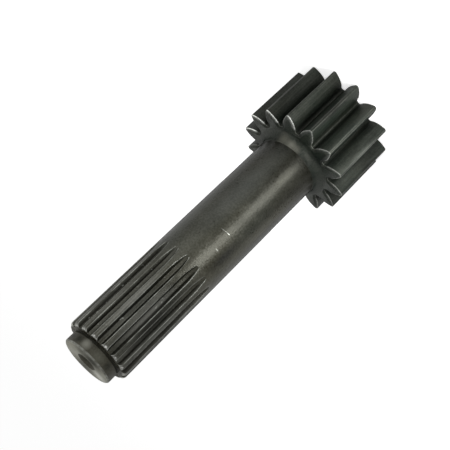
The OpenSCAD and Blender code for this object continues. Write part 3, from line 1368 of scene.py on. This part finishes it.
FINISHES = {
    Zone.SHAFT: SteelFinish(
        "oiled_ground_steel",
        dark=(0.007, 0.007, 0.003),
        light=(0.019, 0.019, 0.012),
        warm=(0.024, 0.020, 0.007),
        cool=(0.010, 0.016, 0.015),
        tint=(1.0, 1.0, 0.87),
        deep_share=0.9,
        deep_gloss=0.9,
        low_gain=0.6,
        # Patches of painted highlight and painted shade on the shaft, then those of the spline.
        spots=(
            Spot(-50.0, 22.5, 104.0, reach=9.0, colour=(0.032, 0.034, 0.031), strength=0.8, tall=6),
            Spot(-86.0, 22.5, 78.0, reach=4.0, colour=(0.045, 0.045, 0.035), strength=0.6, tall=4),
            Spot(-127.0, 22.5, 112.0, reach=6.0, colour=(0.036, 0.035, 0.026), strength=0.7, tall=8),
            Spot(-110.0, 22.5, 142.0, reach=5.0, colour=(0.003, 0.003, 0.002), shade_dimming=0.3, tall=4),
            *SPLINE_SPOTS,
        ),
        scuffs=Scuffs(start=160.0, full=192.0, share=0.7, colour=(0.070, 0.071, 0.062)),
        nicks=(
            Nick(-79.5, 22.5, 132.9, length=7.6, width=0.5, lean=-80.0, strength=0.45),
            Nick(-87.0, 22.5, 132.4, length=3.0, width=0.65, lean=-80.0),
            Nick(-92.0, 22.5, 145.0, length=3.2, width=0.5, lean=-90.0, strength=0.8),
        ),
        flecked=True,
    ),
    Zone.PINION: SteelFinish(
        "oiled_hobbed_steel",
        dark=(0.003, 0.005, 0.004),
        light=(0.014, 0.018, 0.014),
        warm=(0.013, 0.013, 0.008),
        cool=(0.006, 0.012, 0.009),
        worn_and_lit=(0.24, 0.25, 0.22),
        specular=0.25,
        gloss=0.30,
        deep_share=0.4,
        deep_gloss=0.45,
        # Painted highlight on the fillet under the shaft, and painted light and shade on the teeth.
        spots=(
            Spot(-66.0, 22.9, 57.0, reach=4.0, colour=(0.09, 0.09, 0.075), strength=0.6),
            Spot(-54.0, 22.9, 56.6, reach=4.5, colour=(0.12, 0.12, 0.10), strength=0.8),
            Spot(-38.0, 23.0, 56.0, reach=6.0, colour=(0.08, 0.08, 0.065), strength=0.8),
            Spot(-119.0, 41.2, 28.0, reach=3.0, colour=(0.08, 0.085, 0.075), strength=0.6, tall=8),
            Spot(-68.0, 41.2, 28.0, reach=3.5, colour=(0.005, 0.006, 0.005), shade_dimming=0.4, tall=8),
            Spot(-16.0, 41.2, 28.0, reach=3.5, colour=(0.005, 0.006, 0.005), shade_dimming=0.4, tall=8),
            Spot(10.0, 41.2, 28.0, reach=5.0, colour=(0.004, 0.005, 0.004), shade_dimming=0.9, tall=7),
        ),
        scuffs=Scuffs(start=-20.0, full=-10.0, share=0.3, colour=(0.044, 0.048, 0.041), shine=0.15),
    ),
    Zone.PILOT: SteelFinish(
        "oiled_turned_steel",
        dark=(0.006, 0.006, 0.003),
        light=(0.060, 0.058, 0.042),
        warm=(0.030, 0.024, 0.012),
        cool=(0.014, 0.016, 0.012),
        specular=0.36,
        gloss=0.30,
        # Patches of painted highlight and painted shade around the pilot's side.
        spots=(
            Spot(-50.0, 17.5, 240.0, reach=4.0, colour=(0.19, 0.19, 0.16), strength=0.9),
            Spot(-82.0, 17.5, 241.0, reach=6.0, colour=(0.09, 0.09, 0.07), strength=0.8),
            Spot(-111.0, 17.5, 240.0, reach=4.0, colour=(0.01, 0.01, 0.005), shade_dimming=0.4),
            Spot(-30.0, 17.5, 240.0, reach=4.0, colour=(0.006, 0.006, 0.003), shade_dimming=0.7),
            Spot(-10.0, 17.5, 240.0, reach=3.0, colour=(0.01, 0.01, 0.008), shade_dimming=0.4),
        ),
    ),
    Zone.END_FACE: SteelFinish(
        "bare_faced_steel",
        dark=(0.14, 0.14, 0.12),
        light=(0.30, 0.30, 0.27),
        warm=(0.22, 0.21, 0.16),
        cool=(0.20, 0.21, 0.19),
        metallic=0.3,
        gloss=0.42,
        # Patches of painted reflection, light and dark, across the end face.
        spots=(
            Spot(-84.0, 12.0, 244.0, reach=12.0, colour=(0.020, 0.020, 0.012), shade_dimming=0.85),
            Spot(-45.0, 13.0, 244.0, reach=7.0, colour=(0.06, 0.06, 0.045), shade_dimming=0.5, strength=0.8),
            Spot(110.0, 11.0, 244.0, reach=12.0, colour=(0.07, 0.07, 0.06), shade_dimming=0.5, strength=0.9),
            Spot(180.0, 12.0, 244.0, reach=7.0, colour=(0.46, 0.46, 0.42), strength=0.9),
            Spot(45.0, 12.0, 244.0, reach=8.0, colour=(0.34, 0.34, 0.31), strength=0.4),
        ),
    ),
}


@dataclass(frozen=True)
class SunGearShaft:
    """The whole shaft: joins the skins of its stretches to one closed piece and dresses it."""

    stations: Stations
    pinion: Pinion = field(default_factory=Pinion)
    ground: GroundShaft = field(default_factory=GroundShaft)
    spline: Spline = field(default_factory=Spline)
    pilot: Pilot = field(default_factory=Pilot)
    drive_end: DriveEnd = field(default_factory=DriveEnd)
    face_weight: int = 80
    flat_normal: float = 0.95
    end_reach: float = 0.3
    pilot_reach: float = 0.01

    def build(self) -> bpy.types.Object:
        """Models every stretch and closes the seams between them.

        Returns:
            The finished piece.
        """
        skins = [
            self.pinion.build(self.stations),
            self.ground.build(self.stations),
            self.spline.build(self.stations),
            self.pilot.build(self.stations),
            self.drive_end.build(),
        ]
        activate(skins[0])
        for skin in skins:
            skin.select_set(True)
        bpy.ops.object.join()
        piece = bpy.context.object
        piece.name = piece.data.name = "sun_gear_shaft_steel"
        with editing(piece):
            bpy.ops.mesh.remove_doubles(threshold=SEAM_MERGE)
        for seam in (0.0, self.stations.gear_top):
            self.close_seam(piece, seam)
        with editing(piece, "FACE"):
            bpy.ops.mesh.normals_make_consistent(inside=False)
        self.smooth(piece)
        return piece

    def close_seam(self, piece: bpy.types.Object, height: float) -> None:
        """Bridges the two open rings that lie in one plane.

        Args:
            piece: The joined skins.
            height: Height of the plane.
        """
        with editing(piece, "EDGE") as mesh:
            bpy.ops.mesh.select_all(action="DESELECT")
            for edge in mesh.edges:
                level = all(abs(vertex.co.z / MM - height) < SEAM_SLACK for vertex in edge.verts)
                edge.select_set(edge.is_boundary and level)
            bpy.ops.mesh.bridge_edge_loops()

    def smooth(self, piece: bpy.types.Object) -> None:
        """Shades the piece smooth, with each large face kept true.

        Args:
            piece: The closed piece.
        """
        activate(piece)
        bpy.ops.object.shade_smooth()
        modifier = piece.modifiers.new("true_faces", "WEIGHTED_NORMAL")
        modifier.weight = self.face_weight
        bpy.ops.object.modifier_apply(modifier=modifier.name)

    def zone(self, centre: Vector, normal: Vector) -> Zone:
        """Zone of a face by its place and the way it faces.

        Args:
            centre: Middle of the face in millimetres.
            normal: The way that it faces.

        Returns:
            The zone.
        """
        if abs(normal.z) > self.flat_normal and centre.z > self.stations.length - self.end_reach:
            return Zone.END_FACE
        if centre.z > self.stations.shoulder - self.pilot_reach:
            return Zone.PILOT
        ring_top = self.stations.gear_top + self.ground.fillet_r + self.ground.ring_length
        return Zone.PINION if centre.z < ring_top else Zone.SHAFT

    def dress(self, piece: bpy.types.Object) -> None:
        """Gives each zone its finish.

        Args:
            piece: The finished piece.
        """
        piece.data.materials.clear()
        for zone in Zone:
            piece.data.materials.append(FINISHES[zone].make())
        for polygon in piece.data.polygons:
            polygon.material_index = self.zone(polygon.center / MM, polygon.normal).value


@dataclass(frozen=True)
class Lamp:
    """A soft lamp that faces the shaft's axis, level with itself or aimed at a height."""

    name: str
    azimuth: float
    distance: float
    height: float
    width: float
    tall: float
    radiance: float
    aim: float | None = None

    def build(self) -> None:
        """Hangs the lamp at its place."""
        data = bpy.data.lights.new(self.name, "AREA")
        data.shape = "RECTANGLE"
        data.size, data.size_y = self.width * MM, self.tall * MM
        data.energy = self.radiance * math.pi * data.size * data.size_y
        lamp = bpy.data.objects.new(self.name, data)
        bpy.context.collection.objects.link(lamp)
        lamp.location = polar(self.distance, math.radians(self.azimuth), self.height) * MM
        target = Vector((0, 0, self.height if self.aim is None else self.aim)) * MM
        lamp.rotation_euler = (target - lamp.location).to_track_quat("-Z", "Y").to_euler()
        lamp.visible_camera = False


@dataclass(frozen=True)
class PhotoCamera:
    """The camera at the photograph's viewing angle, for a square frame. Its clip distances are in metres."""

    place: tuple[float, float, float] = (123.99, -467.95, 341.91)
    azimuth: float = -74.225
    elevation: float = 23.719
    roll: float = -134.654
    lens: float = 66.675
    shift: float = 0.0429
    clip: tuple[float, float] = (0.01, 100.0)

    def build(self) -> None:
        """Sets the camera and makes it the scene's own."""
        data = bpy.data.cameras.new("camera")
        data.lens = self.lens
        data.shift_y = self.shift
        data.clip_start, data.clip_end = self.clip
        camera = bpy.data.objects.new("camera", data)
        bpy.context.collection.objects.link(camera)
        level = Euler((math.radians(90 - self.elevation), 0, math.radians(self.azimuth + 90)))
        turned = level.to_matrix() @ Matrix.Rotation(math.radians(self.roll), 3, "Z")
        camera.matrix_world = Matrix.Translation(Vector(self.place) * MM) @ turned.to_4x4()
        bpy.context.scene.camera = camera


@dataclass(frozen=True)
class Studio:
    """The floor, the white surroundings, the lamps and the camera."""

    floor_size: float = 30000.0
    floor_colour: Colour = (0.85, 0.85, 0.85)
    floor_lift: float = 0.6
    ambient: float = 0.45
    lamps: tuple[Lamp, ...] = (
        Lamp("key_strip", azimuth=-95.5, distance=88, height=76, width=32, tall=136, radiance=7.5),
        Lamp("soft_side", azimuth=-34, distance=420, height=170, width=300, tall=320, radiance=1.5),
        Lamp("back_strip", azimuth=105, distance=200, height=84, width=44, tall=150, radiance=3.0),
        Lamp("overhead", azimuth=60, distance=500, height=900, width=700, tall=700, radiance=1.0, aim=120),
    )
    camera: PhotoCamera = PhotoCamera()

    def seen_directly(self, graph: Graph) -> Socket:
        """Marks the rays that show the background: camera, glossy and transmission rays.

        Args:
            graph: The graph of a material or the world.

        Returns:
            1 for those rays and 0 for the others.
        """
        path = graph.add("LightPath").outputs
        either = graph.math("ADD", path["Is Camera Ray"], path["Is Glossy Ray"])
        return graph.math("ADD", either, path["Is Transmission Ray"], clamp=True)

    def build_floor(self) -> None:
        """Lays a white floor that keeps the object's shadow."""
        bpy.ops.mesh.primitive_plane_add(size=self.floor_size * MM)
        floor = bpy.context.object
        floor.name = "floor"
        material = bpy.data.materials.new("pale_floor")
        graph = Graph(material)
        shade = graph.feed(graph.add("BsdfDiffuse"), Color=(*self.floor_colour, 1))
        strength = graph.times(self.seen_directly(graph), self.floor_lift)
        glow = graph.feed(graph.add("Emission"), Color=WHITE, Strength=strength)
        both = graph.fill(graph.add("AddShader"), shade.outputs[0], glow.outputs[0])
        graph.feed(graph.add("OutputMaterial"), Surface=both)
        floor.data.materials.append(material)

    def build_world(self) -> None:
        """Sets surroundings that show white and light softly."""
        world = bpy.data.worlds.new("white_surroundings")
        bpy.context.scene.world = world
        graph = Graph(world)
        level = graph.feed(
            graph.add("MapRange"), Value=self.seen_directly(graph), To_Min=self.ambient, To_Max=1.0
        )
        background = graph.feed(graph.add("Background"), Color=WHITE, Strength=level.outputs["Result"])
        graph.feed(graph.add("OutputWorld"), Surface=background.outputs[0])

    def build(self) -> None:
        """Builds the stage and sets the view."""
        self.build_floor()
        self.build_world()
        for lamp in self.lamps:
            lamp.build()
        self.camera.build()
        bpy.context.scene.view_settings.view_transform = "Standard"


def main() -> None:
    """Loads the frame, models and dresses the shaft, and sets the studio around it."""
    logging.basicConfig(level=logging.INFO, format="%(name)s: %(message)s")
    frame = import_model()
    shaft = SunGearShaft(Stations.from_frame(frame["record"]))
    piece = shaft.build()
    shaft.dress(piece)
    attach(piece, BODY)
    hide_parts(NODE)
    LOG.info("%s: %d vertices, %d faces", piece.name, len(piece.data.vertices), len(piece.data.polygons))
    Studio().build()
    LOG.info("studio: floor, surroundings, lamps and camera")


if __name__ == "__main__":
    main()
